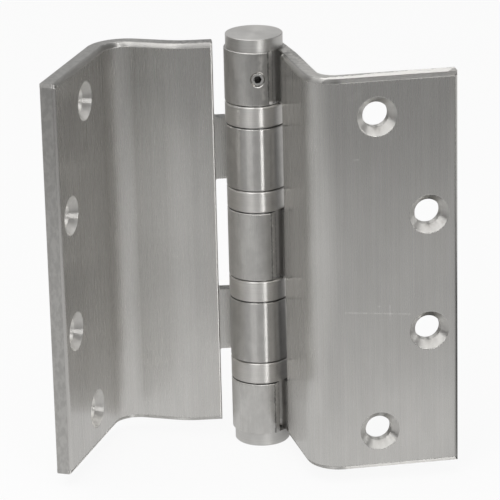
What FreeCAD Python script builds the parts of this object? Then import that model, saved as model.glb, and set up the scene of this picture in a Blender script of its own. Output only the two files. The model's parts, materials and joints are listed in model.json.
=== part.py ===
import FreeCAD, Part
import math
import os

# Five-knuckle, four-bearing swing-clear butt hinge in heavy sheet, at its real size in millimetres.
#
# Everything is first worked out in the hinge's own plan: the pin's axis is the origin, +X runs along
# the jamb leaf's flange towards its free edge, +Y goes from the flange's countersunk face to its seat,
# +Z goes up the pin. The door leaf is drawn shut and then swung open. At the end all pieces move so
# that the origin lies in the middle of the jamb leaf's seat, at mid height.

# leaves
LEAF_HEIGHT = 114.3
SHEET = 4.57
FRONT_ROUND = 1.2           # rounding of the edges round the countersunk side
SEAT_ROUND = 0.3            # rounding of the edges round the seat side
JAMB_DEPTH = 39.55          # pin axis to the jamb flange's countersunk face
LEAF_GAP = 1.5              # between the two flanges when the hinge is shut
LEAF_EDGE = 49.2            # pin axis to a leaf's free edge, along its flange
JAMB_BEND_R = 5.0           # inside radius of the bend
DOOR_BEND_R = 6.6
JAMB_WEB_TILT = 8.4         # web's lean from square to the flange, beside the knuckles
DOOR_WEB_TILT = 21.6
JAMB_END_TILT = 4.8         # web's lean where it enters the bend
DOOR_END_TILT = 2.7
JAMB_WEB_RUN = 10.0         # straight web from the knuckle to the slight turn
DOOR_WEB_RUN = 18.0
JAMB_TURN_R = 47.0          # radius of that turn
DOOR_TURN_R = 19.8
REST_OPEN = 116.9           # how far the door leaf stands open

# pin, tips and knuckles
PIN_R = 3.97
PIN_RUN = 0.05              # radial running clearance in the knuckles
CURL_SWEEP = 291.5          # angle the sheet wraps round the pin
LIP_BEVEL = 1.9             # width of the worn bevel at the curl's free end
LIP_DROP = 0.7              # how far that bevel falls below the knuckle's surface
MID_SHARE = 0.2297          # middle knuckle's part of the height that the bearings leave
DOOR_SHARE = 0.2085         # the same for each of the door leaf's two knuckles
NOTCH_GAP = 2.8             # web kept back from the other leaf's knuckles
NOTCH_ROUND = 0.6
ROOT_STEP = 0.8             # how far the sheet steps back where the knuckles' roots leave the web
ROOT_ROUND = 0.7            # rounding of that step's edge
ROOT_LEAN = 12.0            # angle at which the rounding meets the web's face
HEAD_INSET = 0.5            # button head's radius below the knuckle's
HEAD_H = 3.7
HEAD_CHAMFER = 0.1
TIP_INSET = 0.7
TIP_H = 3.9
TIP_CHAMFER = 0.3
TIP_STEM = 6.0
PIN_END_GAP = 0.4           # between the pin's lower end and the tip's stem
PIN_CHAMFER = 0.6

# set screw in the top knuckle
SCREW_R = 2.1
SCREW_ANGLE = -94.0         # where it points, round the pin
SCREW_RECESS = 0.25         # below the knuckle's surface
SCREW_SOCKET = 2.0          # hexagon across flats
SCREW_SOCKET_DEPTH = 2.2
SCREW_CHAMFER = 0.4
SCREW_POINT_R = 1.4
SCREW_POINT_RUN = 0.05      # round the point in its spot on the pin
SPOT_DEPTH = 0.5
MOUTH_CHAMFER = 0.25

# bearings
BEARING_H = 6.81
CASE_WALL = 0.85
CASE_GAP = 0.3              # between a case and the knuckles above and below it
CASE_ROUND = 0.5
CASE_RUN = 0.09             # upper race inside the case
RACE_RUN = 0.08             # races round the pin
RACE_GAP = 0.5              # between the two races
BALL_R = 1.16
BALL_RUN = 0.03             # ball to the bottom of its groove
BALL_SPACE = 0.1            # least gap from ball to ball
GROOVE_R = 1.23

# screw holes
HOLE_R = 3.65
SINK_R = 5.5
SINK_ANGLE = 82.0
HOLE_END_OUTER = 11.2       # leaf's end to the outer holes
HOLE_END_INNER = 40.1       # leaf's end to the inner holes
HOLE_X_OUTER = 26.7         # pin axis to the outer holes, along the flange
HOLE_X_INNER = 41.0

# sizes that follow from those above
BORE_R = PIN_R + PIN_RUN
KNUCKLE_R = BORE_R + SHEET
TOP = LEAF_HEIGHT / 2
KNUCKLES_H = LEAF_HEIGHT - 4 * BEARING_H
MID_TOP = MID_SHARE * KNUCKLES_H / 2
DOOR_LOW = MID_TOP + BEARING_H
DOOR_HIGH = DOOR_LOW + DOOR_SHARE * KNUCKLES_H
END_LOW = DOOR_HIGH + BEARING_H
NOTCH_REACH = KNUCKLE_R + NOTCH_GAP
DOOR_DEPTH = JAMB_DEPTH + LEAF_GAP
SEAT = FreeCAD.Vector(-(HOLE_X_OUTER + HOLE_X_INNER) / 2, JAMB_DEPTH - SHEET, 0)
SCREW_Z = (TOP + END_LOW) / 2
HOLES = (
    (HOLE_X_OUTER, TOP - HOLE_END_OUTER),
    (HOLE_X_INNER, TOP - HOLE_END_INNER),
    (HOLE_X_INNER, HOLE_END_INNER - TOP),
    (HOLE_X_OUTER, HOLE_END_OUTER - TOP),
)
UP = FreeCAD.Vector(0, 0, 1)


def polar(radius, angle):
    """Point of the plan at a radius and an angle in degrees round the pin."""
    return FreeCAD.Vector(radius * math.cos(math.radians(angle)), radius * math.sin(math.radians(angle)), 0)


def turned(point, centre, angle):
    """The point turned about a centre of the plan, in degrees."""
    return centre + FreeCAD.Rotation(UP, angle).multVec(point - centre)


def sheet_face(start, heading, path):
    """Plan of a bent sheet, and the edges of its left (1) and right (-1) sides. Its middle line starts
    at a point and heading and follows the path's lines (length, 0) and arcs (radius, turn in degrees,
    left positive)."""
    sides = {1: [], -1: []}
    point = start
    for size, turn in path:
        left = polar(1, heading + 90)
        if turn == 0:
            end = point + polar(size, heading)
            for side, edges in sides.items():
                shift = left * (side * SHEET / 2)
                edges.append(Part.LineSegment(point + shift, end + shift).toShape())
        else:
            centre = point + left * math.copysign(size, turn)
            end = turned(point, centre, turn)
            for side, edges in sides.items():
                first = point + left * (side * SHEET / 2)
                arc = Part.Arc(first, turned(first, centre, turn / 2), turned(first, centre, turn))
                edges.append(arc.toShape())
        point = end
        heading += turn
    ends = []
    for last in (0, -1):
        pair = [edges[last].Vertexes[last].Point for edges in sides.values()]
        ends.append(Part.LineSegment(pair[0], pair[1]).toShape())
    outline = Part.Wire(Part.__sortEdges__(sides[1] + sides[-1] + ends))
    return Part.Face(outline), sides


def leaf_path(curl_side, tilt, end_tilt, run, turn_r, bend_r, face):
    """Start, heading and path of a leaf's middle line: curl, straight web, slight turn, web, bend
    and flange. curl_side is -1 where the sheet curls clockwise and 1 where it curls the other way;
    face is the flange's middle line, below the pin."""
    middle = BORE_R + SHEET / 2
    tangent = tilt if curl_side < 0 else tilt + 180
    start = polar(middle, tangent - curl_side * CURL_SWEEP)
    heading = tangent - curl_side * CURL_SWEEP + curl_side * 90
    turn = tilt - end_tilt
    bend_middle = bend_r + SHEET / 2
    low = polar(middle, tangent) + polar(run, tilt - 90)
    centre = low + polar(turn_r, tilt + 180)
    low = turned(low, centre, -turn)
    lean = math.radians(end_tilt)
    web = (low.y + face - bend_middle * (1 - math.sin(lean))) / math.cos(lean)
    bend_x = low.x + web * math.sin(lean) + bend_middle * math.cos(lean)
    path = (
        (middle, curl_side * CURL_SWEEP),
        (run, 0),
        (turn_r, -turn),
        (web, 0),
        (bend_middle, 90 - end_tilt),
        (LEAF_EDGE - bend_x, 0),
    )
    return start, heading, path


def notch(tilt, low, high):
    """Block that clears a leaf away round the pin between two heights, with rounded inner corners."""
    wide = KNUCKLE_R + SHEET
    block = Part.makeBox(
        2 * wide, wide + NOTCH_REACH, high - low, FreeCAD.Vector(-wide, -NOTCH_REACH, low)
    )
    inner = [
        edge for edge in block.Edges
        if abs(edge.BoundBox.YMax + NOTCH_REACH) < 1e-6 and edge.BoundBox.ZLength < 1e-6
    ]
    block = block.makeFillet(NOTCH_ROUND, inner)
    block.rotate(FreeCAD.Vector(), UP, tilt)
    return block


def root_step(side, tilt):
    """Tool that sets the sheet's inner face back between the web and the curl, with a rounded shoulder.
    side is 1 where the web stands on the +X side of the pin before its tilt, and -1 on the other."""
    wide = ROOT_ROUND * math.cos(math.radians(ROOT_LEAN))
    trim = wide - ROOT_ROUND * math.sin(math.radians(ROOT_LEAN))
    deep = wide - ROOT_ROUND * math.sqrt(0.5)
    clear = (BORE_R - KNUCKLE_R * math.cos(math.radians(360 - CURL_SWEEP))) / 2

    def at(depth, reach):
        return FreeCAD.Vector(side * (BORE_R + depth), -reach, -LEAF_HEIGHT)

    shoulder = Part.Arc(
        at(0, NOTCH_REACH + trim), at(deep, NOTCH_REACH + deep), at(trim, NOTCH_REACH)
    ).toShape()
    rest = Part.makePolygon([
        at(trim, NOTCH_REACH),
        at(ROOT_STEP, NOTCH_REACH),
        at(ROOT_STEP, BORE_R),
        at(-clear, BORE_R),
        at(-clear, NOTCH_REACH + trim),
        at(0, NOTCH_REACH + trim),
    ])
    tool = Part.Face(Part.Wire([shoulder] + rest.Edges)).extrude(UP * 2 * LEAF_HEIGHT)
    tool.rotate(FreeCAD.Vector(), UP, tilt)
    return tool


def lip_bevel(side, tilt):
    """Tool that bevels the outer edge of the curl's free end; side is as for the root step."""
    end = 360 - CURL_SWEEP
    start = end + math.degrees(LIP_BEVEL / KNUCKLE_R)
    top = polar(KNUCKLE_R, -start)
    low = polar(KNUCKLE_R - LIP_DROP, -end)
    over = (low - top) * 0.2
    outside = FreeCAD.Vector(0, -KNUCKLE_R - SHEET / 4, 0)
    corners = [top - over, low + over, FreeCAD.Vector(low.x + over.x, outside.y, 0), outside]
    corners = [FreeCAD.Vector(side * c.x, c.y, -LEAF_HEIGHT) for c in corners]
    tool = Part.Face(Part.makePolygon(corners + corners[:1])).extrude(UP * 2 * LEAF_HEIGHT)
    tool.rotate(FreeCAD.Vector(), UP, tilt)
    return tool


def screw_hole(x, z, face, inward):
    """Countersunk hole's tool: inward is the sense along Y in which the screw goes."""
    half = math.tan(math.radians(SINK_ANGLE / 2))
    depth = (SINK_R - HOLE_R) / half
    over = SHEET / 4
    along = FreeCAD.Vector(0, inward, 0)
    mouth = FreeCAD.Vector(x, face - inward * over, z)
    cone = Part.makeCone(SINK_R + over * half, HOLE_R, over + depth, mouth, along)
    shaft = Part.makeCylinder(HOLE_R, SHEET + 2 * over, mouth, along)
    return cone.fuse(shaft)


def on_side(edge, side):
    """True where an edge of a leaf's solid stands on one side of its sheet."""
    middle = edge.valueAt((edge.FirstParameter + edge.LastParameter) / 2)
    foot = Part.Vertex(middle.x, middle.y, 0)
    return min(foot.distToShape(line)[0] for line in side) < 1e-4


def is_sharp(solid, edge):
    """True where the two faces at an edge don't run on smoothly."""
    middle = edge.valueAt((edge.FirstParameter + edge.LastParameter) / 2)
    faces = solid.ancestorsOfType(edge, Part.Face)
    normals = [face.normalAt(*face.Surface.parameter(middle)) for face in faces]
    return normals[0].getAngle(normals[-1]) > math.radians(20)


def is_outer(edge):
    """True for an edge at the leaf's ends or far from the pin, not one that a notch has made."""
    box = edge.BoundBox
    at_end = box.ZLength < 1e-4 and abs(abs(box.ZMax) - TOP) < 1e-4
    return at_end or edge.CenterOfMass.x > LEAF_EDGE - SHEET


def rounded(solid, show, seat):
    """The leaf's solid with its sharp edges rounded: widely round the countersunk side, but not in the
    notches, and slightly round the seat side."""
    sharp = [e for e in solid.Edges if is_outer(e) and on_side(e, show) and is_sharp(solid, e)]
    solid = solid.makeFillet(FRONT_ROUND, sharp)
    sharp = [e for e in solid.Edges if on_side(e, seat) and is_sharp(solid, e)]
    return solid.makeFillet(SEAT_ROUND, sharp)


def leaf(line, side, tilt, notches):
    """A leaf: the bent sheet, notched for the other leaf's knuckles, with rounded edges, the step at its
    knuckles' roots and the bevel at their ends. side is 1 where its web stands on the +X side of the
    pin, or -1."""
    face, sides = sheet_face(*line)
    solid = face.extrude(UP * LEAF_HEIGHT)
    solid.translate(UP * -TOP)
    for low, high in notches:
        solid = solid.cut(notch(tilt, low, high))
    solid = rounded(solid.removeSplitter(), sides[-side], sides[side])
    return solid.cut([root_step(side, tilt), lip_bevel(side, tilt)]).removeSplitter()


def jamb_leaf():
    """Right leaf, with the first, third and fifth knuckles; the set screw's hole is in the first."""
    line = leaf_path(
        -1, JAMB_WEB_TILT, JAMB_END_TILT, JAMB_WEB_RUN, JAMB_TURN_R, JAMB_BEND_R, JAMB_DEPTH - SHEET / 2
    )
    solid = leaf(line, 1, JAMB_WEB_TILT, ((MID_TOP, END_LOW), (-END_LOW, -MID_TOP)))
    for x, z in HOLES:
        solid = solid.cut(screw_hole(x, z, -JAMB_DEPTH, 1))
    outward = polar(1, SCREW_ANGLE)
    level = UP * SCREW_Z
    solid = solid.cut(Part.makeCylinder(SCREW_R, KNUCKLE_R + SHEET, level, outward))
    flare = MOUTH_CHAMFER + SHEET / 4
    mouth = level + outward * (KNUCKLE_R - MOUTH_CHAMFER)
    return solid.cut(Part.makeCone(SCREW_R, SCREW_R + flare, flare, mouth, outward))


def door_leaf():
    """Left leaf, with the second and fourth knuckles, drawn shut and swung open."""
    line = leaf_path(
        1, DOOR_WEB_TILT, DOOR_END_TILT, DOOR_WEB_RUN, DOOR_TURN_R, DOOR_BEND_R, DOOR_DEPTH + SHEET / 2
    )
    past = TOP + SHEET
    notches = ((DOOR_HIGH, past), (-DOOR_LOW, DOOR_LOW), (-past, -DOOR_HIGH))
    solid = leaf(line, -1, DOOR_WEB_TILT, notches)
    for x, z in HOLES:
        solid = solid.cut(screw_hole(x, z, -DOOR_DEPTH, -1))
    solid.rotate(FreeCAD.Vector(), UP, -REST_OPEN)
    return solid


def round_bar(profile):
    """Solid turned about the pin's axis from (radius, height) corners that start and end on it."""
    corners = [FreeCAD.Vector(r, 0, z) for r, z in profile]
    return Part.Face(Part.makePolygon(corners + corners[:1])).revolve(FreeCAD.Vector(), UP, 360)


def washer(inner, outer, low, high):
    """Plain ring between two heights."""
    level = UP * low
    return Part.makeCylinder(outer, high - low, level).cut(Part.makeCylinder(inner, high - low, level))


def hinge_pin():
    """Pin with its button head on the top knuckle, and the spot where the set screw bites."""
    head_r = KNUCKLE_R - HEAD_INSET
    low = -TOP + TIP_STEM + PIN_END_GAP
    high = TOP + HEAD_H
    solid = round_bar((
        (0, low),
        (PIN_R - PIN_CHAMFER, low),
        (PIN_R, low + PIN_CHAMFER),
        (PIN_R, TOP),
        (head_r, TOP),
        (head_r, high - HEAD_CHAMFER),
        (head_r - HEAD_CHAMFER, high),
        (0, high),
    ))
    outward = polar(1, SCREW_ANGLE)
    spot = UP * SCREW_Z + outward * (PIN_R - SPOT_DEPTH)
    return solid.cut(Part.makeCylinder(SCREW_POINT_R + SCREW_POINT_RUN, PIN_R, spot, outward))


def bottom_tip():
    """Plug that closes the bottom knuckle, with its stem in the knuckle's bore."""
    tip_r = KNUCKLE_R - TIP_INSET
    low = -TOP - TIP_H
    return round_bar((
        (0, low),
        (tip_r - TIP_CHAMFER, low),
        (tip_r, low + TIP_CHAMFER),
        (tip_r, -TOP),
        (BORE_R, -TOP),
        (BORE_R, -TOP + TIP_STEM - PIN_CHAMFER),
        (BORE_R - PIN_CHAMFER, -TOP + TIP_STEM),
        (0, -TOP + TIP_STEM),
    ))


def set_screw():
    """Hex-socket screw with a plain point that stands in the pin's spot."""
    outward = polar(1, SCREW_ANGLE)
    level = UP * SCREW_Z
    foot = level + outward * (PIN_R - SPOT_DEPTH)
    shoulder = level + outward * (BORE_R + PIN_RUN)
    top_r = KNUCKLE_R - SCREW_RECESS
    body = Part.makeCylinder(SCREW_R, top_r - SCREW_CHAMFER - BORE_R - PIN_RUN, shoulder, outward)
    neck = level + outward * (top_r - SCREW_CHAMFER)
    crown = Part.makeCone(SCREW_R, SCREW_R - SCREW_CHAMFER, SCREW_CHAMFER, neck, outward)
    point = Part.makeCylinder(SCREW_POINT_R, (shoulder - foot).Length, foot, outward)
    corners = [turned(polar(SCREW_SOCKET / math.sqrt(3), 0), FreeCAD.Vector(), 60 * i) for i in range(7)]
    socket = Part.Face(Part.makePolygon(corners)).extrude(UP * SCREW_SOCKET_DEPTH)
    mouth = level + outward * (top_r - SCREW_SOCKET_DEPTH)
    socket.Placement = FreeCAD.Placement(mouth, FreeCAD.Rotation(UP, outward))
    return body.fuse([crown, point]).cut(socket).removeSplitter()


def bearing(low):
    """Case, upper race, lower race and balls of the bearing that stands on a knuckle at that height."""
    high = low + BEARING_H
    middle = (low + high) / 2
    race_in = PIN_R + RACE_RUN
    case_in = KNUCKLE_R - CASE_WALL
    pitch = (race_in + case_in - CASE_RUN / 2) / 2

    case = washer(case_in, KNUCKLE_R, low + CASE_GAP, high - CASE_GAP)
    rims = [
        edge for edge in case.Edges
        if len(edge.Vertexes) == 1 and abs(edge.BoundBox.XMax - KNUCKLE_R) < 1e-3
    ]
    case = case.makeFillet(CASE_ROUND, rims)

    sink = BALL_R + BALL_RUN - GROOVE_R
    groove_low = Part.makeTorus(pitch, GROOVE_R, UP * (middle - sink))
    groove_high = Part.makeTorus(pitch, GROOVE_R, UP * (middle + sink))
    lower = washer(race_in, case_in, low, middle - RACE_GAP / 2).cut(groove_low)
    upper = washer(race_in, case_in - CASE_RUN, middle + RACE_GAP / 2, high).cut(groove_high)

    count = int(math.pi / math.asin((BALL_R + BALL_SPACE / 2) / pitch))
    balls = [
        Part.makeSphere(BALL_R, polar(pitch, 360 * i / count) + UP * middle)
        for i in range(count)
    ]
    return case, upper, lower, Part.makeCompound(balls)


def pieces():
    """Every piece of the hinge by name, in the hinge's plan."""
    made = {
        "jamb_leaf": jamb_leaf(),
        "door_leaf": door_leaf(),
        "hinge_pin": hinge_pin(),
        "bottom_tip": bottom_tip(),
        "set_screw": set_screw(),
    }
    stands_on = (DOOR_HIGH, MID_TOP, -DOOR_LOW, -END_LOW)
    for number, low in enumerate(stands_on, 1):
        for name, shape in zip(("case", "upper_race", "lower_race", "balls"), bearing(low)):
            made["bearing_%d_%s" % (number, name)] = shape
    return made


os.makedirs("parts", exist_ok=True)
for name, shape in pieces().items():
    shape.translate(SEAT)
    shape.exportStep("parts/%s.step" % name)
    box = shape.BoundBox
    print(name, shape.isValid(), len(shape.Solids), round(shape.Volume, 2),
          [round(v, 2) for v in (box.XMin, box.YMin, box.ZMin, box.XMax, box.YMax, box.ZMax)])
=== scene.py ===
# %% [markdown]
# # A swing-clear butt hinge
# The hinge is two leaves of heavy satin stainless sheet. Each is curled round the pin, runs out as a
# web and bends into a screwed flange. Four ball bearings stand between the five knuckles. The shapes
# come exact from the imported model, so this lesson is about light and metal: what brushed steel mirrors,
# and how its grain smears that mirror image.

# %% Load the fixed frame
import json
import math
from types import SimpleNamespace

import bpy
from mathutils import Matrix, Vector


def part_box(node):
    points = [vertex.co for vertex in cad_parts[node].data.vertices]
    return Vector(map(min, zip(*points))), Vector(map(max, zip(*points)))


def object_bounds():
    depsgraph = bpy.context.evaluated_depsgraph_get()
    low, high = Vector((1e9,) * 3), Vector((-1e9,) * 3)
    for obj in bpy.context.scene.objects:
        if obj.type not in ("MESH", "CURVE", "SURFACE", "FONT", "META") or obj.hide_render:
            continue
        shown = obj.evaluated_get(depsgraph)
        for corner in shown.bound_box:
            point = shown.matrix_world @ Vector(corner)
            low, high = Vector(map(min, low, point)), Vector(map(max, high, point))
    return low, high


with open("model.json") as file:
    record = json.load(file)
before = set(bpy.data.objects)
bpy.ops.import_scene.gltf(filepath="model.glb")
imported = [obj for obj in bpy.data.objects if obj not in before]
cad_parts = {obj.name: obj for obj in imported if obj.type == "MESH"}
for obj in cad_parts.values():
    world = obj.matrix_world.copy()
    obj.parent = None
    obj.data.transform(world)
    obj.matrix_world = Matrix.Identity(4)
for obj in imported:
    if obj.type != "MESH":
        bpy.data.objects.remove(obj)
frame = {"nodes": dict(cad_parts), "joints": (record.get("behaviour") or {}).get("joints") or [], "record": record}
cad_low, cad_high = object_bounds()
nodes = frame["nodes"]
mounts = {m["name"]: m for m in frame["record"]["mounts"]}
swing = next(j for j in frame["joints"] if j["name"] == "leaf_swing")
PIN = Vector(swing["pos_m"])
FLOOR_Z = cad_low.z
scene = bpy.context.scene
scene.view_settings.view_transform = "Standard"
print("nodes", len(nodes), "pin axis", [round(v, 5) for v in PIN], "floor", round(FLOOR_Z, 5))

# %% [markdown]
# ## Camera
# The photograph is taken from the front, a little above, with a long lens. Eye, direction and roll were
# worked out from the hinge's own corners, so the picture and the model line up.

# %% Camera
EYE = Vector((-0.175536, -0.804252, 0.294400))
AHEAD = Vector((0.15445, 0.93112, -0.33039)).normalized()
ROLL = math.radians(-1.3623)
LENS, SENSOR = 226.9, 36.0
NEAREST, FARTHEST = 0.05, 20.0

level_side = AHEAD.cross(Vector((0, 0, 1))).normalized()
level_up = level_side.cross(AHEAD)
side = level_side * math.cos(ROLL) + level_up * math.sin(ROLL)
up = level_up * math.cos(ROLL) - level_side * math.sin(ROLL)
camera_data = bpy.data.cameras.new("camera")
camera_data.lens = LENS
camera_data.sensor_width = SENSOR
camera_data.clip_start, camera_data.clip_end = NEAREST, FARTHEST
camera = bpy.data.objects.new("camera", camera_data)
camera.matrix_world = Matrix((side, up, -AHEAD)).transposed().to_4x4()
camera.location = EYE
scene.collection.objects.link(camera)
scene.camera = camera
print("camera", [round(v, 4) for v in EYE], "lens", LENS)

# %% [markdown]
# ## Node helpers
# Every finish below is a small graph of nodes. A few helpers keep the graphs readable: one adds a node
# and wires its inputs, the others wrap Math, Vector Math, Map Range and Mix.

# %% Node helpers


def add(tree, kind, inputs=None, **settings):
    """Adds a node, sets its properties, and fills its inputs: sockets are linked, other values set."""
    node = tree.nodes.new(kind)
    for key, value in settings.items():
        setattr(node, key, value)
    for key, value in (inputs or {}).items():
        socket = node.inputs[key]
        if isinstance(value, bpy.types.NodeSocket):
            tree.links.new(value, socket)
        else:
            socket.default_value = value
    return node


def math_node(tree, operation, *values):
    """The Math node's result for one, two or three values or sockets."""
    return add(tree, "ShaderNodeMath", dict(enumerate(values)), operation=operation).outputs[0]


def times(tree, product, *factors):
    """The product of two or more values or sockets."""
    for factor in factors:
        product = math_node(tree, "MULTIPLY", product, factor)
    return product


def vector_math(tree, operation, *values, scale=None):
    """The Vector Math node; a length, distance or dot product comes out as Value, all else as Vector."""
    inputs = dict(enumerate(values))
    if scale is not None:
        inputs["Scale"] = scale
    node = add(tree, "ShaderNodeVectorMath", inputs, operation=operation)
    return node.outputs["Value" if operation in ("LENGTH", "DOT_PRODUCT", "DISTANCE") else "Vector"]


def ramp(tree, value, low, high, out_low=0.0, out_high=1.0):
    """A smooth step: out_low below low, out_high above high, eased between."""
    inputs = {"Value": value, "From Min": low, "From Max": high, "To Min": out_low, "To Max": out_high}
    return add(tree, "ShaderNodeMapRange", inputs, interpolation_type="SMOOTHSTEP").outputs["Result"]


def band(tree, value, low, high, soft):
    """One between low and high, and nothing outside, with soft ends."""
    rise = ramp(tree, value, low - soft, low + soft)
    return times(tree, rise, ramp(tree, value, high - soft, high + soft, 1.0, 0.0))


def mix(tree, factor, first, second):
    """First where the factor is 0, second where it is 1."""
    return add(tree, "ShaderNodeMix", {"Factor": factor, "A": first, "B": second}).outputs["Result"]


def split(tree, vector):
    """The three parts of a vector."""
    return add(tree, "ShaderNodeSeparateXYZ", {0: vector}).outputs


def join(tree, x, y, z):
    """A vector from three parts."""
    return add(tree, "ShaderNodeCombineXYZ", {"X": x, "Y": y, "Z": z}).outputs[0]


print("node helpers ready")

# %% [markdown]
# ## Floor
# The hinge stands on a plain, wide floor, level with its lowest point. It belongs to the stage and not to
# the part.

# %% Floor
FLOOR_REACH = 3.0

floor_mesh = bpy.data.meshes.new("pale_floor")
corners = [(x * FLOOR_REACH, y * FLOOR_REACH, FLOOR_Z) for x, y in ((-1, -1), (1, -1), (1, 1), (-1, 1))]
floor_mesh.from_pydata(corners, [], [(0, 1, 2, 3)])
floor = bpy.data.objects.new("pale_floor", floor_mesh)
scene.collection.objects.link(floor)
print("floor", FLOOR_REACH * 2, "m across")

# %% [markdown]
# ## Floor glow
# A mirror-like metal shows its surroundings, so the surroundings are the picture. The leaves are upright
# and the camera looks down on them: what they mirror is the floor in front. Its glow is painted light:
# brightest beside the hinge, it falls off towards the camera in soft steps, which is why steel looks darker
# at the top of a leaf than at its foot. In front on the left, a patch of painted light stands in for a white
# card and lights the bends. To the right of the hinge lies a painted shadow, a dark patch that stands in
# for the hinge's shadow on the floor; it ends just behind the barrel and gives round steel a crisp dark
# side, as a photographer's dark card would. The camera itself sees a plain white floor with a soft shadow.

# %% Floor glow
# The steps are (from, to, gain) along the depth, which leans a little from left to right.
DEPTH_DIM, DEPTH_LEAN, LEAN_WIDE = 0.26, 0.39, 0.06
DEPTH_STEPS = [(-0.315, -0.25, 0.16), (-0.25, -0.11, 0.10), (-0.12, -0.025, 0.22)]
# A round patch of painted light on the floor in front on the left stands in for a white card.
LEFT_PAINTED_GLOW, LEFT_PAINTED_GLOW_SOFT, LEFT_PAINTED_GLOW_GAIN = (-0.17, -0.16, FLOOR_Z), (0.04, 0.14), 0.15
# The painted shadow starts at its corner, runs out to its end, and a painted bright strip and the far floor
# follow.
PAINTED_SHADOW_CORNER, PAINTED_SHADOW_WAY = (-0.02, 0.03, 0.0), (0.70, 0.71, 0.0)
PAINTED_SHADOW_EDGE, PAINTED_SHADOW_END, STRIP_END = (-0.015, 0.02), (0.135, 0.165), (0.20, 0.24)
PAINTED_SHADOW_BACK = (0.055, 0.085)
PAINTED_SHADOW_TONE, STRIP_TONE, FAR_TONE = 0.0, 0.95, 0.75
# Shares of glow in what the camera sees and in what metal mirrors; the rest is the matt floor.
FLOOR_SEEN, FLOOR_MIRRORED = 0.90, 0.90
MATT_COLOUR = (0.8, 0.8, 0.8, 1)

floor_material = bpy.data.materials.new("pale_floor")
floor_material.use_nodes = True
tree = floor_material.node_tree
tree.nodes.clear()
place = add(tree, "ShaderNodeTexCoord").outputs["Object"]
way = split(tree, place)
lean = ramp(tree, way["X"], -LEAN_WIDE, LEAN_WIDE, -LEAN_WIDE * DEPTH_LEAN, LEAN_WIDE * DEPTH_LEAN)
depth = math_node(tree, "ADD", way["Y"], lean)
left_gap = vector_math(tree, "DISTANCE", place, LEFT_PAINTED_GLOW)
# Painted light: the floor's glow rises in steps towards the hinge and in the patch on the left.
painted_light_and_shade = math_node(tree, "ADD", DEPTH_DIM, ramp(tree, left_gap, *LEFT_PAINTED_GLOW_SOFT, LEFT_PAINTED_GLOW_GAIN, 0.0))
for far, near, gain in DEPTH_STEPS:
    painted_light_and_shade = math_node(tree, "ADD", painted_light_and_shade, ramp(tree, depth, far, near, 0.0, gain))
# Painted shadow: a dark patch on the floor to the right of the hinge stands in for the hinge's shadow there.
along = vector_math(tree, "DOT_PRODUCT", vector_math(tree, "SUBTRACT", place, PAINTED_SHADOW_CORNER), PAINTED_SHADOW_WAY)
right = ramp(tree, along, *PAINTED_SHADOW_END, PAINTED_SHADOW_TONE, STRIP_TONE)
right = mix(tree, ramp(tree, along, *STRIP_END), right, FAR_TONE)
on_painted_shadow = times(tree, ramp(tree, along, *PAINTED_SHADOW_EDGE), ramp(tree, way["Y"], *PAINTED_SHADOW_BACK, 1.0, 0.0))
painted_light_and_shade = mix(tree, on_painted_shadow, painted_light_and_shade, right)
rays = add(tree, "ShaderNodeLightPath").outputs
mirrored = math_node(tree, "MAXIMUM", rays["Is Glossy Ray"], rays["Is Transmission Ray"])
strength = mix(tree, rays["Is Camera Ray"], painted_light_and_shade, 1.0)
glow = add(tree, "ShaderNodeEmission", {"Strength": strength}).outputs[0]
matt = add(tree, "ShaderNodeBsdfDiffuse", {"Color": MATT_COLOUR}).outputs[0]
share = times(tree, rays["Is Camera Ray"], FLOOR_SEEN)
share = math_node(tree, "MAXIMUM", share, times(tree, mirrored, FLOOR_MIRRORED))
mixed = add(tree, "ShaderNodeMixShader", {0: share, 1: matt, 2: glow}).outputs[0]
add(tree, "ShaderNodeOutputMaterial", {"Surface": mixed})
floor_mesh.materials.append(floor_material)
# The white card in the printed text is a patch of painted light, and the dark one a painted shadow.
print("floor glow in", len(DEPTH_STEPS), "steps, with a white card and a dark one")

# %% [markdown]
# ## World
# Round the floor stands a dim room. It is bright behind the hinge and overhead, dark in front, where the
# camera stands, and dimmed to either side. Only the steel shows it: the camera sees plain white.

# %% World
WORLD_FRONT, WORLD_BACK, WORLD_TOP = 0.20, 0.90, 0.75
WORLD_LEFT, WORLD_RIGHT = 0.5, 0.4
BACK_RISE, TOP_RISE = (0.0, 0.7), (0.10, 0.50)
LEFT_RISE, RIGHT_FALL = (-0.9, -0.3), (0.2, 0.8)

world = bpy.data.worlds.new("studio")
scene.world = world
world.use_nodes = True
tree = world.node_tree
tree.nodes.clear()
way = split(tree, add(tree, "ShaderNodeTexCoord").outputs["Generated"])
tone = ramp(tree, way["Y"], *BACK_RISE, WORLD_FRONT, WORLD_BACK)
tone = mix(tree, ramp(tree, way["Z"], *TOP_RISE), tone, WORLD_TOP)
tone = times(tree, tone, ramp(tree, way["X"], *RIGHT_FALL, 1.0, WORLD_RIGHT))
tone = times(tree, tone, ramp(tree, way["X"], *LEFT_RISE, WORLD_LEFT, 1.0))
tone = mix(tree, add(tree, "ShaderNodeLightPath").outputs["Is Camera Ray"], tone, 1.0)
back = add(tree, "ShaderNodeBackground", {"Strength": tone}).outputs[0]
add(tree, "ShaderNodeOutputWorld", {"Surface": back})
print("world from", WORLD_FRONT, "in front to", WORLD_BACK, "behind")

# %% [markdown]
# ## Lamps
# A wide box overhead sets the level and another on the left shapes the leaves. The third, narrow and low
# on the right, is the one that draws a bright line down the knuckles and rings.


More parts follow.
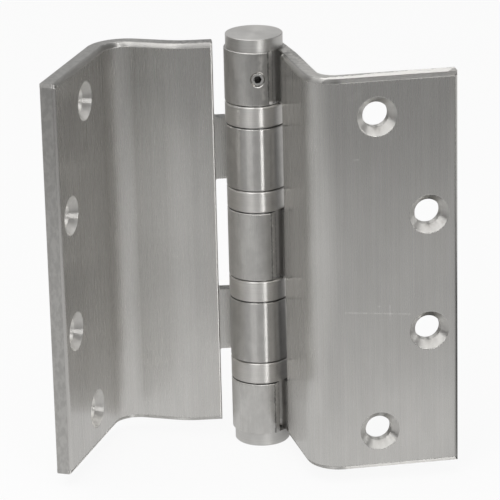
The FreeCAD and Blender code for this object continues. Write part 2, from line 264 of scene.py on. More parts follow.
# %% Lamps
def soft_box(name, azimuth, elevation, distance, width, height, power):
    """A rectangular lamp aimed at the barrel; azimuth 0 is in front, along -Y, and grows to the right."""
    data = bpy.data.lights.new(name, "AREA")
    data.shape = "RECTANGLE"
    data.size, data.size_y = width, height
    data.energy = power
    lamp = bpy.data.objects.new(name, data)
    a, e = math.radians(azimuth), math.radians(elevation)
    out = Vector((math.sin(a) * math.cos(e), -math.cos(a) * math.cos(e), math.sin(e)))
    lamp.location = Vector((PIN.x, PIN.y, 0)) + out * distance
    lamp.rotation_mode = "QUATERNION"
    lamp.rotation_quaternion = out.to_track_quat("Z", "Y")
    lamp.visible_camera = False
    scene.collection.objects.link(lamp)
    return lamp


lamps = [
    soft_box("overhead_box", azimuth=-60, elevation=70, distance=0.9, width=1.3, height=1.0, power=5.0),
    soft_box("left_box", azimuth=-36, elevation=32, distance=1.3, width=0.50, height=0.7, power=2.3),
    soft_box("right_box", azimuth=14, elevation=10, distance=1.0, width=0.24, height=0.40, power=2.1),
]
print("lamps", [lamp.name for lamp in lamps])

# %% [markdown]
# ## Grain
# Brushing leaves thousands of shallow grooves. Stretched noise stands for them: squeezed across the
# grain and drawn out along it. The same group serves the turned pieces, where the grain runs in rings.

# %% Grain group
FLOAT, VECTOR = "NodeSocketFloat", "NodeSocketVector"
GRAIN_ROUGHNESS = 0.6
NOISE_RANGE = (0.3, 0.7)


def new_group(name, inputs, outputs):
    """An empty shader node group with named sockets; returns its tree, its input and its output node."""
    group = bpy.data.node_groups.new(name, "ShaderNodeTree")
    for label, kind in inputs:
        group.interface.new_socket(label, in_out="INPUT", socket_type=kind)
    for label, kind in outputs:
        group.interface.new_socket(label, in_out="OUTPUT", socket_type=kind)
    return group, group.nodes.new("NodeGroupInput").outputs, group.nodes.new("NodeGroupOutput").inputs


def place_group(tree, group, inputs):
    """Places a group, wires or sets its inputs, and returns its outputs."""
    return add(tree, "ShaderNodeGroup", inputs, node_tree=group).outputs


grain, given, gives = new_group(
    "brushed_grain", [("Place", VECTOR), ("Squeeze", VECTOR), ("Detail", FLOAT)], [("Streak", FLOAT)]
)
stretched = vector_math(grain, "MULTIPLY", given["Place"], given["Squeeze"])
noise_inputs = {"Vector": stretched, "Scale": 1.0, "Detail": given["Detail"], "Roughness": GRAIN_ROUGHNESS}
noise = add(grain, "ShaderNodeTexNoise", noise_inputs)
grain.links.new(noise.outputs[0], gives["Streak"])


def grain_of(tree, place, squeeze, detail):
    """Streaks at a place, as a value near one half."""
    return place_group(tree, grain, {"Place": place, "Squeeze": squeeze, "Detail": detail})["Streak"]


def vary(tree, noise, low, high):
    """A noise value, which lies round one half, spread from low to high."""
    return ramp(tree, noise, *NOISE_RANGE, low, high)


print("group", grain.name)

# %% [markdown]
# ## Countersinks
# Each screw hole is drilled and countersunk after the sheet is brushed, so its cone has no grain, and the
# rim is rubbed round. A group finds the nearest of a leaf's four holes: they lie mirrored about mid
# height, so two distances on the flange, with the height taken without its sign, cover all four.

# %% Countersink group
HOLE_R = mounts["jamb_outer_screws"]["dims"]["hole_r_mm"] / 1000
SINK_R, SINK_SOFT = 0.0055, 0.00004
RUB_INSIDE, RUB_WIDE = 0.0001, 0.0002
WALL_NEAR, WALL_FAR = 0.00002, 0.00008

sinks, given, gives = new_group(
    "countersinks",
    [("Run", FLOAT), ("Level", FLOAT), ("Outer", VECTOR), ("Inner", VECTOR)],
    [("Sink", FLOAT), ("Rub", FLOAT), ("Bore", FLOAT)],
)
flange_place = join(sinks, given["Run"], math_node(sinks, "ABSOLUTE", given["Level"]), 0.0)
outer_arm = vector_math(sinks, "SUBTRACT", flange_place, given["Outer"])
inner_arm = vector_math(sinks, "SUBTRACT", flange_place, given["Inner"])
hole_radius = math_node(
    sinks, "MINIMUM", vector_math(sinks, "LENGTH", inner_arm), vector_math(sinks, "LENGTH", outer_arm)
)
sink_zones = {
    "Sink": (SINK_R - SINK_SOFT, SINK_R + SINK_SOFT),
    "Rub": (SINK_R - RUB_INSIDE, SINK_R + RUB_WIDE),
    "Bore": (HOLE_R + WALL_NEAR, HOLE_R + WALL_FAR),
}
for label, edge in sink_zones.items():
    sinks.links.new(ramp(sinks, hole_radius, *edge, 1.0, 0.0), gives[label])
print("group", sinks.name)

# %% [markdown]
# ## Scratches and a painted highlight
# Handling leaves a few bright scratches and nicks. Each is a short line on the sheet: the group measures
# the distance from a point to that line, and breaks it up with a little noise. The same group also paints
# a highlight, as broken light bands down the jamb leaf's first knuckle.

# %% Scratch and highlight group
BREAK_SCALE, BREAK_DETAIL = 900.0, 2.0
BREAK_RANGE, BREAK_LEAST = (0.3, 0.6), 0.2

scratch_and_highlight, given, gives = new_group(
    "scratch_and_highlight",
    [("Place", VECTOR), ("Start", VECTOR), ("Run", VECTOR), ("Width", FLOAT)],
    [("Mark", FLOAT)],
)
from_start = vector_math(scratch_and_highlight, "SUBTRACT", given["Place"], given["Start"])
part = math_node(
    scratch_and_highlight,
    "DIVIDE",
    vector_math(scratch_and_highlight, "DOT_PRODUCT", from_start, given["Run"]),
    vector_math(scratch_and_highlight, "DOT_PRODUCT", given["Run"], given["Run"]),
)
part = math_node(scratch_and_highlight, "MINIMUM", math_node(scratch_and_highlight, "MAXIMUM", part, 0.0), 1.0)
nearest = vector_math(scratch_and_highlight, "SCALE", given["Run"], scale=part)
gap = vector_math(scratch_and_highlight, "DISTANCE", from_start, nearest)
mark = math_node(scratch_and_highlight, "SUBTRACT", 1.0, math_node(scratch_and_highlight, "DIVIDE", gap, given["Width"]))
mark = math_node(scratch_and_highlight, "MAXIMUM", mark, 0.0)
noise_inputs = {"Vector": given["Place"], "Scale": BREAK_SCALE, "Detail": BREAK_DETAIL}
broken = add(scratch_and_highlight, "ShaderNodeTexNoise", noise_inputs).outputs[0]
broken = ramp(scratch_and_highlight, broken, *BREAK_RANGE, BREAK_LEAST, 1.0)
scratch_and_highlight.links.new(times(scratch_and_highlight, mark, broken), gives["Mark"])
print("group", scratch_and_highlight.name)

# %% [markdown]
# ## Places on a leaf
# Both leaves are the same satin sheet, so one set of functions serves them. Nothing is painted by hand:
# the graph measures where a point lies, from the pin, along the flange and the web, and under the
# countersunk face, and which way the surface looks there.

# %% Places on a leaf
jamb_low, jamb_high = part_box("jamb_leaf")
LEAF_TOP, EDGE_RUN, SHEET = jamb_high.z - PIN.z, jamb_high.x - PIN.x, -jamb_low.y
FLATTEN = (1, 1, 0)


def from_pin(tree):
    """A point's place, its arm from the middle of the pin, and that arm without its height."""
    place = add(tree, "ShaderNodeTexCoord").outputs["Object"]
    arm = vector_math(tree, "SUBTRACT", place, tuple(PIN))
    return place, arm, vector_math(tree, "MULTIPLY", arm, FLATTEN)


def turn_to(tree, vector, kind, first, second):
    """A vector or normal of the first space, turned into the second."""
    settings = {"vector_type": kind, "convert_from": first, "convert_to": second}
    return add(tree, "ShaderNodeVectorTransform", {0: vector}, **settings).outputs[0]


def measure_leaf(tree, leaf):
    """Where a point lies: run and reach are its distances from the pin along flange and web, beside is its
    distance from the web's line, and depth is how far it lies under the flange's countersunk face."""
    at = SimpleNamespace()
    at.place, arm, at.flat = from_pin(tree)
    at.radius = vector_math(tree, "LENGTH", at.flat)
    at.level = split(tree, arm)["Z"]
    at.high = math_node(tree, "ABSOLUTE", at.level)
    at.run = vector_math(tree, "DOT_PRODUCT", arm, tuple(leaf.row))
    at.reach = vector_math(tree, "DOT_PRODUCT", arm, tuple(leaf.web))
    at.beside = vector_math(tree, "LENGTH", vector_math(tree, "CROSS_PRODUCT", at.flat, tuple(leaf.web)))
    back = Vector(mounts[leaf.seat]["axis"])
    face = Vector(mounts[leaf.seat]["pos_m"]) - back * SHEET
    under_face = vector_math(tree, "SUBTRACT", at.place, tuple(face))
    at.depth = vector_math(tree, "DOT_PRODUCT", under_face, tuple(back))
    normal = add(tree, "ShaderNodeNewGeometry").outputs["Normal"]
    at.facing = turn_to(tree, normal, "NORMAL", "WORLD", "OBJECT")
    at.upward = split(tree, at.facing)["Z"]
    return at


print("leaf top", round(LEAF_TOP, 5), "free edge", round(EDGE_RUN, 5), "sheet", round(SHEET, 5))

# %% [markdown]
# ## Zones of a leaf
# The sheared ends and edges, the notches' cut faces, the knuckles, the rounded rims, the shoulder where
# the knuckles' roots step back, and the holes all look different. Each zone is a mask: 1 inside it, 0
# outside, and soft between.

# %% Zones of a leaf
FLAT_ON = (0.90, 0.97)
EDGE_STRIP = (EDGE_RUN - 0.0012, EDGE_RUN - 0.0006)
NOTCH_TOP = (LEAF_TOP - 0.003, LEAF_TOP - 0.002)
RIM_START = (LEAF_TOP - 0.0015, LEAF_TOP - 0.0011)
KNUCKLE_EDGE = (0.0088, 0.0094)
ROOT_REACH, ROOT_START, ROOT_END, ROOT_SOFT = 0.01139, -0.0001, 0.0006, 0.0001
ROOT_LIMIT = (0.0135, 0.0145)
SINK_DEPTH = (SHEET - 0.0006, SHEET - 0.0002)
ROUNDING_LEAN, ROUNDING_DEPTH = (0.01, 0.10), (0.0012, 0.0016)


def leaf_zones(tree, at, leaf):
    """The masks of a leaf's zones."""
    on = SimpleNamespace()
    on.level_face = ramp(tree, math_node(tree, "ABSOLUTE", at.upward), *FLAT_ON)
    endward = math_node(tree, "ABSOLUTE", vector_math(tree, "DOT_PRODUCT", at.facing, tuple(leaf.row)))
    on.end_face = times(tree, ramp(tree, endward, *FLAT_ON), ramp(tree, at.run, *EDGE_STRIP))
    on.sheared = math_node(tree, "MAXIMUM", on.level_face, on.end_face)
    on.notch_face = times(tree, on.level_face, ramp(tree, at.high, *NOTCH_TOP, 1.0, 0.0))
    on.knuckle = ramp(tree, at.radius, *KNUCKLE_EDGE, 1.0, 0.0)
    on.polished = times(tree, on.knuckle, leaf.polish)
    on.rim = times(tree, ramp(tree, at.high, *RIM_START), math_node(tree, "SUBTRACT", 1.0, on.knuckle))
    shoulder = band(tree, at.reach, ROOT_REACH + ROOT_START, ROOT_REACH + ROOT_END, ROOT_SOFT)
    on.shoulder = times(tree, shoulder, ramp(tree, at.radius, *ROOT_LIMIT, 1.0, 0.0))
    places = {"Outer": (*leaf.outer, 0.0), "Inner": (*leaf.inner, 0.0)}
    hole = place_group(tree, sinks, {"Run": at.run, "Level": at.level, **places})
    front = ramp(tree, at.depth, *SINK_DEPTH, 1.0, 0.0)
    on.sink = times(tree, hole["Sink"], front)
    on.rub = times(tree, hole["Rub"], front)
    on.bore = hole["Bore"]
    near_front = ramp(tree, at.depth, *ROUNDING_DEPTH, 1.0, 0.0)
    on.rounding = times(tree, ramp(tree, at.upward, *ROUNDING_LEAN), near_front, on.rim)
    return on


print("zones ready, with knuckles to", KNUCKLE_EDGE[0], "m from the pin and shoulders at", ROOT_REACH)

# %% [markdown]
# ## The curl's free end
# Where a knuckle's curl comes back to the web, its free end has a small bevel. It shows as a dark line at
# the bevel's foot, bright nicks along it, and a second dark line at the edge.

# %% The curl's free end
LIP_FRONT, LIP_RADIUS = (0.003, 0.004), (0.0088, 0.0090)
LIP_HIGH, LIP_MIDDLE = (0.02, 0.04), 0.85
CHIP_SCALE, CHIP_DETAIL, FOOT_WANDER = 1400.0, 2.0, 0.00015
# Lines across the bevel, as (from, to, softness) past its foot.
FOOT_LINE, EDGE_LINE = (-0.0002, 0.0001, 0.00012), (0.0016, 0.0022, 0.0002)
NICK_LINE, PRE_FOOT_LINE = (0.0002, 0.0007, 0.0002), (-0.0012, 0.0, 0.0007)
NICK_CHIPS = (0.52, 0.62)
LINE_DARK, PRE_FOOT_DARK, NICK_LIGHT = 0.55, 0.2, 0.4


def lip_tone(tree, at, lip, turn):
    """Tone of the bevel at the curl's free end. lip is the angle round the pin, from the front to the
    right, at which the bevel starts, and turn is 1 where it goes on to the right and -1 to the left."""
    angle = math.radians(lip)
    ahead = Vector((math.cos(angle), math.sin(angle), 0.0)) * turn
    out = (math.sin(angle), -math.cos(angle), 0.0)
    over = vector_math(tree, "DOT_PRODUCT", at.flat, tuple(ahead))
    front = ramp(tree, vector_math(tree, "DOT_PRODUCT", at.flat, out), *LIP_FRONT)
    inside = ramp(tree, at.radius, *LIP_RADIUS, 1.0, 0.0)
    near = times(tree, front, inside, ramp(tree, at.high, *LIP_HIGH, LIP_MIDDLE, 1.0))
    noise_inputs = {"Vector": join(tree, over, 0.0, at.high), "Scale": CHIP_SCALE, "Detail": CHIP_DETAIL}
    chips = add(tree, "ShaderNodeTexNoise", noise_inputs).outputs[0]
    foot = math_node(tree, "ADD", over, vary(tree, chips, -FOOT_WANDER, FOOT_WANDER))
    dark = math_node(tree, "MAXIMUM", band(tree, foot, *FOOT_LINE), band(tree, foot, *EDGE_LINE))
    nick = times(tree, band(tree, over, *NICK_LINE), ramp(tree, chips, *NICK_CHIPS))
    # A band just before the bevel's foot is darker.
    tone_shift = band(tree, over, *PRE_FOOT_LINE)
    tone = math_node(tree, "SUBTRACT", 1.0, times(tree, dark, LINE_DARK))
    tone = math_node(tree, "SUBTRACT", tone, times(tree, tone_shift, PRE_FOOT_DARK))
    tone = math_node(tree, "ADD", tone, times(tree, nick, NICK_LIGHT))
    return mix(tree, near, 1.0, tone)


print("bevel lines", FOOT_LINE[:2], EDGE_LINE[:2])

# %% [markdown]
# ## The burnished cut
# A shear presses the first part of its cut smooth before the rest tears. Along the jamb flange that
# bright part can be seen on the cut face, deeper towards the free edge, with a ragged border.

# %% The burnished cut
BURNISH_TONE, CORNER_RUN = 1.5, 0.0035
FLANGE_START, FLANGE_FULL = 0.006, 0.010
BURNISH_RAGGED, BURNISH_SOFT = 0.0004, (-0.0003, 0.0004)


def burnished(tree, at, mottle, burnish):
    """Mask of the bright part of the cut; burnish is its depth at the bend and at the free edge."""
    limit = ramp(tree, at.run, FLANGE_FULL, EDGE_RUN - CORNER_RUN, *burnish)
    corner = ramp(tree, at.run, EDGE_RUN - CORNER_RUN, EDGE_RUN, 0.0, CORNER_RUN)
    bright = math_node(tree, "SUBTRACT", limit, at.depth)
    bright = math_node(tree, "MINIMUM", bright, math_node(tree, "SUBTRACT", at.depth, corner))
    bright = math_node(tree, "ADD", bright, vary(tree, mottle, -BURNISH_RAGGED, BURNISH_RAGGED))
    return times(tree, ramp(tree, bright, *BURNISH_SOFT), ramp(tree, at.run, FLANGE_START, FLANGE_FULL))


print("burnished tone", BURNISH_TONE)

# %% [markdown]
# ## Tone of a leaf
# The base colour is one steel, made lighter or darker by a tone. Streaks, broad bands and clouds vary it
# on the open sheet. The jamb leaf's upward-facing front rounding is darkened with painted shade. The level
# cut faces are mottled and darker towards the barrel, the cut ends are mottled, the notch faces are darkened
# with painted shade, the cones are a little lighter, and the door leaf's drilled walls are lifted with
# painted light. Scratches come last, on top of everything, and with them a painted highlight on the jamb
# leaf's first knuckle.

# %% Tone of a leaf
# Each grain is how far noise is squeezed along X, Y and Z, and its detail.
GRAINS = {
    "fine": ((3600, 3600, 28), 3.0),
    "broad": ((900, 900, 8), 2.0),
    "cloud": ((120, 120, 45), 3.0),
    "mottle": ((900, 900, 500), 4.0),
    "handled": ((420, 420, 260), 4.0),
}
STREAK, KNUCKLE_STREAK = 0.022, 0.2
BROAD_TONE, CLOUD_TONE = (0.98, 1.02), (0.97, 1.03)
HANDLED_RANGE, HANDLED_TONE = (0.35, 0.65), (0.94, 1.05)
MOTTLE_RANGE, NOTCH_RANGE = (0.38, 0.62), (0.35, 0.65)
LEVEL_RADIUS, LEVEL_LOW, LEVEL_HIGH = (0.016, 0.034), (0.40, 0.66), (0.70, 0.80)
END_TONE, NOTCH_PAINTED_SHADE = (0.77, 0.91), (0.25, 0.55)
POLISHED_TONE, SINK_TONE = 0.82, 1.12


def leaf_tone(tree, at, on, grains, leaf):
    """How light the steel is, against its base colour."""
    streak = vary(tree, grains["fine"], -STREAK, STREAK)
    streak = times(tree, streak, mix(tree, on.knuckle, 1.0, KNUCKLE_STREAK))
    tone = math_node(tree, "ADD", streak, vary(tree, grains["broad"], *BROAD_TONE))
    handled = ramp(tree, grains["handled"], *HANDLED_RANGE, *HANDLED_TONE)
    tone = times(tree, tone, vary(tree, grains["cloud"], *CLOUD_TONE), mix(tree, on.knuckle, 1.0, handled))
    # On the jamb leaf the upward-facing rounding along the front is darkened: painted shade that dulls its
    # reflection.
    tone = times(tree, tone, mix(tree, on.rounding, 1.0, leaf.edge))

    mottle = grains["mottle"]
    # The level cut faces are mottled and darker towards the barrel.
    level_low = ramp(tree, at.radius, *LEVEL_RADIUS, *LEVEL_LOW)
    level_high = ramp(tree, at.radius, *LEVEL_RADIUS, *LEVEL_HIGH)
    level_tone = ramp(tree, mottle, *MOTTLE_RANGE, level_low, level_high)
    cut = mix(tree, burnished(tree, at, mottle, leaf.burnish), level_tone, BURNISH_TONE)
    tone = mix(tree, on.level_face, tone, cut)
    tone = mix(tree, on.end_face, tone, ramp(tree, mottle, *MOTTLE_RANGE, *END_TONE))
    # The notch faces between the knuckles are mottled and darkened with painted shade.
    tone = mix(tree, on.notch_face, tone, ramp(tree, mottle, *NOTCH_RANGE, *NOTCH_PAINTED_SHADE))

    tone = times(tree, tone, mix(tree, on.polished, 1.0, POLISHED_TONE), mix(tree, on.sink, 1.0, SINK_TONE))
    # The drilled wall takes the leaf's bore tone; on the door leaf it is painted light that lifts the shade in the
    # holes.
    tone = mix(tree, on.bore, tone, leaf.bore)
    tone = times(tree, tone, lip_tone(tree, at, *leaf.lip))
    # Scratches, and on the jamb leaf a painted highlight, come last.
    for start, length, width, gain in leaf.marks:
        inputs = {"Place": at.place, "Start": start, "Run": length, "Width": width}
        mark = place_group(tree, scratch_and_highlight, inputs)["Mark"]
        tone = math_node(tree, "ADD", tone, times(tree, mark, gain))
    return tone


print("grains", sorted(GRAINS))

# %% [markdown]
# ## Surface of a leaf
# Roughness says how wide a reflection spreads, the height gives the grooves their relief, and the lay is
# the way they run. The sheet is brushed up and down the pin, so its reflection is drawn out sideways. On
# polished knuckles and the root's shoulder the lay turns round the pin, and on the rims it follows the
# edge. The shoulder is also dubbed over, as a belt leaves it, and so catches the lamp as one bright line.

# %% Surface of a leaf
FINE_ROUGH = (0.26, 0.29)
RIM_ROUGH, SHEARED_ROUGH, RUB_ROUGH, POLISHED_ROUGH, SHOULDER_ROUGH = 0.50, 0.36, 0.43, 0.31, 0.38
KNUCKLE_SMOOTH, FLAT_GRAIN = 0.85, 0.5
GRAIN_DEPTH, RUB_DEPTH, DUB_DEPTH = 0.0000022, 0.00005, 0.00021
DUB_BESIDE, DUB_RADIUS = (0.00425, 0.0047), (0.0095, 0.0105)
UP, BRUSHED_WAY, ROW_SHARE = (0, 0, 1), (0.02, 0.03, 1.0), 0.05


def leaf_roughness(tree, on, fine):
    """Roughness by zone."""
    rough = mix(tree, on.rim, vary(tree, fine, *FINE_ROUGH), RIM_ROUGH)
    rough = mix(tree, on.sheared, rough, SHEARED_ROUGH)
    rough = mix(tree, on.rub, rough, RUB_ROUGH)
    rough = mix(tree, on.polished, rough, POLISHED_ROUGH)
    return mix(tree, on.shoulder, rough, SHOULDER_ROUGH)


def leaf_height(tree, at, on, fine):
    """Relief in metres: the grooves, the rubbed rims of the countersinks, and the dubbed shoulder."""
    smooth = math_node(tree, "MAXIMUM", math_node(tree, "MAXIMUM", on.rim, on.sheared), on.rub)
    smooth = math_node(tree, "MAXIMUM", smooth, times(tree, on.knuckle, KNUCKLE_SMOOTH))
    height = times(tree, mix(tree, smooth, fine, FLAT_GRAIN), GRAIN_DEPTH)
    height = math_node(tree, "SUBTRACT", height, times(tree, on.rub, RUB_DEPTH))
    past_root = math_node(tree, "SUBTRACT", at.reach, ROOT_REACH)
    dubbed = ramp(tree, past_root, ROOT_START, ROOT_END, DUB_DEPTH, 0.0)
    inner_side = ramp(tree, at.beside, *DUB_BESIDE, 1.0, 0.0)
    dubbed = times(tree, dubbed, inner_side, ramp(tree, at.radius, *DUB_RADIUS))
    return math_node(tree, "ADD", height, dubbed)


def mix_ways(tree, factor, first, second):
    """The same as mix, for two directions; sockets 4 and 5 are the Mix node's vectors."""
    inputs = {"Factor": factor, 4: first, 5: second}
    return add(tree, "ShaderNodeMix", inputs, data_type="VECTOR").outputs[1]


def leaf_lay(tree, at, on, leaf):
    """The way the grooves run."""
    around = vector_math(tree, "NORMALIZE", vector_math(tree, "CROSS_PRODUCT", UP, at.flat))
    along_edge = vector_math(tree, "CROSS_PRODUCT", UP, at.facing)
    along_edge = vector_math(tree, "ADD", along_edge, tuple(leaf.row * ROW_SHARE))
    lay = mix_ways(tree, on.rim, BRUSHED_WAY, vector_math(tree, "NORMALIZE", along_edge))
    lay = mix_ways(tree, math_node(tree, "MAXIMUM", on.polished, on.shoulder), lay, around)
    return turn_to(tree, lay, "VECTOR", "OBJECT", "WORLD")


print("groove depth", GRAIN_DEPTH)

# %% [markdown]
# ## Leaf steel
# Measures, zones, tone and surface come together in one material. One more function starts any steel: it
# sets what all of them share, which is metal with a grain that draws its reflections out.

# %% Leaf steel
LEAF_BASE = (0.66, 0.648, 0.625)
ACROSS_LAY = 0.25


def steel(name, drawn_out):
    """A new metal material; drawn_out is how far its grooves stretch a reflection across their lay."""
    material = bpy.data.materials.new(name)
    material.use_nodes = True
    shader = material.node_tree.nodes["Principled BSDF"]
    shader.inputs["Metallic"].default_value = 1.0
    shader.inputs["Anisotropic"].default_value = drawn_out
    shader.inputs["Anisotropic Rotation"].default_value = ACROSS_LAY
    return material, material.node_tree, shader


def leaf_steel(name, leaf):
    """Satin sheet. row and web are the ways out from the pin along flange and web, and seat is the mount
    on the flange's back. outer and inner give a screw hole's run along row and its height. bore is the
    tone of the drilled wall, which on the door leaf is painted light that lifts the shade in its holes. edge
    is the tone of the upward-facing rounding along the flange's front, which on the jamb leaf is painted
    shade that dulls its reflection. polish is how far the knuckles are polished. lip is the curl's bevel, as
    lip_tone takes it. burnish is how deep the shear left its cut bright. marks are scratches and rubs, and
    on the jamb leaf a painted highlight, as (start, run, width, gain) in metres."""
    material, tree, shader = steel(name, drawn_out=1.0)
    at = measure_leaf(tree, leaf)
    on = leaf_zones(tree, at, leaf)
    grains = {label: grain_of(tree, at.place, *settings) for label, settings in GRAINS.items()}
    tone = leaf_tone(tree, at, on, grains, leaf)
    tree.links.new(vector_math(tree, "SCALE", LEAF_BASE, scale=tone), shader.inputs["Base Color"])
    tree.links.new(leaf_roughness(tree, on, grains["fine"]), shader.inputs["Roughness"])
    height = leaf_height(tree, at, on, grains["fine"])
    bump = add(tree, "ShaderNodeBump", {"Height": height, "Strength": 1.0, "Distance": 1.0})
    tree.links.new(bump.outputs[0], shader.inputs["Normal"])
    tree.links.new(leaf_lay(tree, at, on, leaf), shader.inputs["Tangent"])
    return material


print("leaf base colour", LEAF_BASE)

# %% [markdown]
# ## The two leaves
# A leaf is described by where its flange, web and holes lie, and by what differs. The door leaf's knuckles
# are polished round the pin, the jamb leaf's only a little. Their cut edges differ, the door's drilled walls
# are lifted with painted light, the jamb's front rounding is dulled with painted shade, and each has its own
# scratches; the jamb leaf also has a painted highlight down its first knuckle.


# %% The two leaves
def web_of(row, tilt):
    """The way out along a web, which leans by tilt degrees from square to its flange."""
    return Matrix.Rotation(math.radians(tilt - 90), 3, "Z") @ row


def hole_run(mount, row):
    """Distance of a screw row from the pin along the flange, and half its spacing up the pin, in metres."""
    dims = mounts[mount]["dims"]
    spacing = dims.get("spacing_y_mm", dims.get("pcd_mm")) / 1000
    return (Vector(mounts[mount]["pos_m"]) - PIN).dot(row), spacing / 2


JAMB_TILT, DOOR_TILT = 8.4, 21.6
door_out = Vector(mounts["door_outer_screws"]["axis"])
JAMB_ROW, DOOR_ROW = Vector((1, 0, 0)), Vector((door_out.y, -door_out.x, 0))
FACE_Y = -0.0046
# Scratches, nicks and rubs, and a painted highlight, as (start, run, width, gain).
JAMB_MARKS_AND_HIGHLIGHT = [
    ((-0.0167, FACE_Y, -0.0099), (0.0183, 0.0, -0.0019), 0.00025, 0.35),
    ((-0.00405, FACE_Y, -0.0087), (0.0, 0.0, -0.0044), 0.00022, 0.35),
    ((-0.0137, FACE_Y, 0.0341), (0.0012, 0.0, 0.0), 0.00025, 0.35),
    ((-0.0073, FACE_Y, -0.0087), (0.0003, 0.0, -0.0002), 0.0003, 0.35),
    ((-0.0146, FACE_Y, 0.0512), (0.0020, 0.0, 0.0018), 0.0007, 0.07),
    ((-0.0138, FACE_Y, 0.0506), (0.0025, 0.0, 0.0026), 0.0007, 0.07),
    ((-0.0034, FACE_Y, 0.0399), (0.0, 0.0, -0.0020), 0.0003, 0.08),
    # Painted highlight: two broken light bands down the front of the first knuckle.
    ((-0.0334, 0.0264, 0.0556), (0.0, 0.0, -0.0036), 0.0012, 0.55),
    ((-0.0331, 0.0264, 0.0466), (0.0002, 0.0, -0.0026), 0.0010, 0.40),
]
DOOR_MARKS = [
    ((-0.0459, 0.0321, 0.0281), (-0.0002, 0.0, 0.0002), 0.0003, 0.35),
    ((-0.0698, 0.0343, 0.0415), (-0.0003, 0.0, 0.0003), 0.0003, 0.35),
]
JAMB = SimpleNamespace(
    row=JAMB_ROW,
    web=web_of(JAMB_ROW, JAMB_TILT),
    seat="jamb_seat",
    outer=hole_run("jamb_outer_screws", JAMB_ROW),
    inner=hole_run("jamb_inner_screws", JAMB_ROW),
    bore=0.9,
    # The upward-facing front rounding is darkened to this share: painted shade.
    edge=0.38,
    polish=0.25,
    lip=(17.2, 1),
    burnish=(0.0026, 0.0044),
    marks=JAMB_MARKS_AND_HIGHLIGHT,
)
DOOR = SimpleNamespace(
    row=DOOR_ROW,
    web=web_of(DOOR_ROW, DOOR_TILT),
    seat="door_seat",
    outer=hole_run("door_outer_screws", DOOR_ROW),
    inner=hole_run("door_inner_screws", DOOR_ROW),
    # Painted light: the drilled walls are lifted to lighten the shade in the holes.
    bore=1.5,
    edge=1.0,
    polish=1.0,
    lip=(-104.1, -1),
    burnish=(0.0002, 0.0002),
    marks=DOOR_MARKS,
)
leaf_finishes = {
    "jamb_leaf": leaf_steel("jamb_leaf_steel", JAMB),
    "door_leaf": leaf_steel("door_leaf_steel", DOOR),
}
print("finishes", [finish.name for finish in leaf_finishes.values()])

# %% [markdown]
# ## Turned steel
# Pin, bearing cases, races and balls are turned or ground: their marks run in rings round the pin, and
# their reflection is drawn out along it. That is why a narrow lamp becomes one bright line down a ring.

# %% Turned steel
RING_SQUEEZE, RING_DETAIL, RING_TONE = (6000, 1, 6000), 3.0, (0.95, 1.04)
STAIN_SQUEEZE, STAIN_DETAIL, STAIN_TONE = (300, 300, 300), 3.0, (0.96, 1.03)
ROUGH_SPREAD, RING_STRENGTH, RING_DEPTH = 0.02, 0.05, 0.0001
SCREW_ANGLE = math.radians(-94)
SCREW_WAY = (math.cos(SCREW_ANGLE), math.sin(SCREW_ANGLE), 0.0)
screw_low, screw_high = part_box("set_screw")
SCREW_Z = (screw_low.z + screw_high.z) / 2
# The set screw's hollow gets painted shade, darker deeper in.
SOCKET_R, SOCKET_OUT, SOCKET_PAINTED_SHADE = (0.00105, 0.00125), (0.0074, 0.0082), (0.9, 0.3)


def socket_painted_shade(tree, arm):
    """How much darker the hollow of the set screw is: painted shade that deepens into the hollow."""
    aside = vector_math(tree, "SUBTRACT", arm, (0, 0, SCREW_Z))
    aside = vector_math(tree, "LENGTH", vector_math(tree, "CROSS_PRODUCT", aside, SCREW_WAY))
    out = vector_math(tree, "DOT_PRODUCT", arm, SCREW_WAY)
    inside = ramp(tree, aside, *SOCKET_R, 1.0, 0.0)
    return times(tree, inside, ramp(tree, out, *SOCKET_OUT, *SOCKET_PAINTED_SHADE))


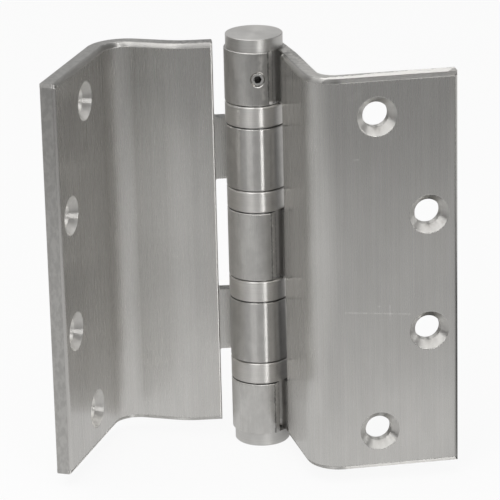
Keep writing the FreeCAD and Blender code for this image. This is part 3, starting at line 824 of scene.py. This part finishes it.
def turned_steel(name, base, roughness, drawn_out, socket=False):
    """Steel with circular grooves round the pin; with socket, the hollow of the set screw gets painted shade."""
    material, tree, shader = steel(name, drawn_out)
    place, arm, flat = from_pin(tree)
    ring_place = join(tree, vector_math(tree, "LENGTH", flat), 0.0, split(tree, arm)["Z"])
    rings = grain_of(tree, ring_place, RING_SQUEEZE, RING_DETAIL)
    tone_shift = grain_of(tree, place, STAIN_SQUEEZE, STAIN_DETAIL)
    tone = times(tree, vary(tree, rings, *RING_TONE), vary(tree, tone_shift, *STAIN_TONE))
    if socket:
        # Painted shade darkens the set screw's hollow, deeper in more.
        tone = times(tree, tone, math_node(tree, "SUBTRACT", 1.0, socket_painted_shade(tree, arm)))
    tree.links.new(vector_math(tree, "SCALE", base, scale=tone), shader.inputs["Base Color"])
    rough = vary(tree, rings, roughness - ROUGH_SPREAD, roughness + ROUGH_SPREAD)
    tree.links.new(rough, shader.inputs["Roughness"])
    bump = add(tree, "ShaderNodeBump", {"Height": rings, "Strength": RING_STRENGTH, "Distance": RING_DEPTH})
    tree.links.new(bump.outputs[0], shader.inputs["Normal"])
    around = vector_math(tree, "CROSS_PRODUCT", UP, flat)
    tree.links.new(turn_to(tree, around, "VECTOR", "OBJECT", "WORLD"), shader.inputs["Tangent"])
    return material


finishes = {
    "pin_steel": turned_steel("pin_steel", (0.63, 0.62, 0.60), roughness=0.40, drawn_out=0.5),
    "case_steel": turned_steel("case_steel", (0.68, 0.665, 0.64), roughness=0.38, drawn_out=0.9),
    "race_steel": turned_steel("race_steel", (0.66, 0.66, 0.66), roughness=0.18, drawn_out=0.6),
    "ball_steel": turned_steel("ball_steel", (0.75, 0.75, 0.75), roughness=0.08, drawn_out=0.0),
    "screw_steel": turned_steel(
        "screw_steel", (0.70, 0.69, 0.67), roughness=0.18, drawn_out=0.0, socket=True
    ),
}
print("finishes", sorted(finishes))

# %% [markdown]
# ## Dress the pieces
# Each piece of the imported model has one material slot. The leaves get their own sheet finish, everything
# else the finish that its slot in the record names.

# %% Dress the pieces
for entry in frame["record"]["subparts"]:
    piece = nodes[entry["node"]]
    for slot in piece.material_slots:
        slot.material = leaf_finishes.get(entry["node"]) or finishes[entry["material_slot"]]
print("dressed", len(nodes), "pieces")
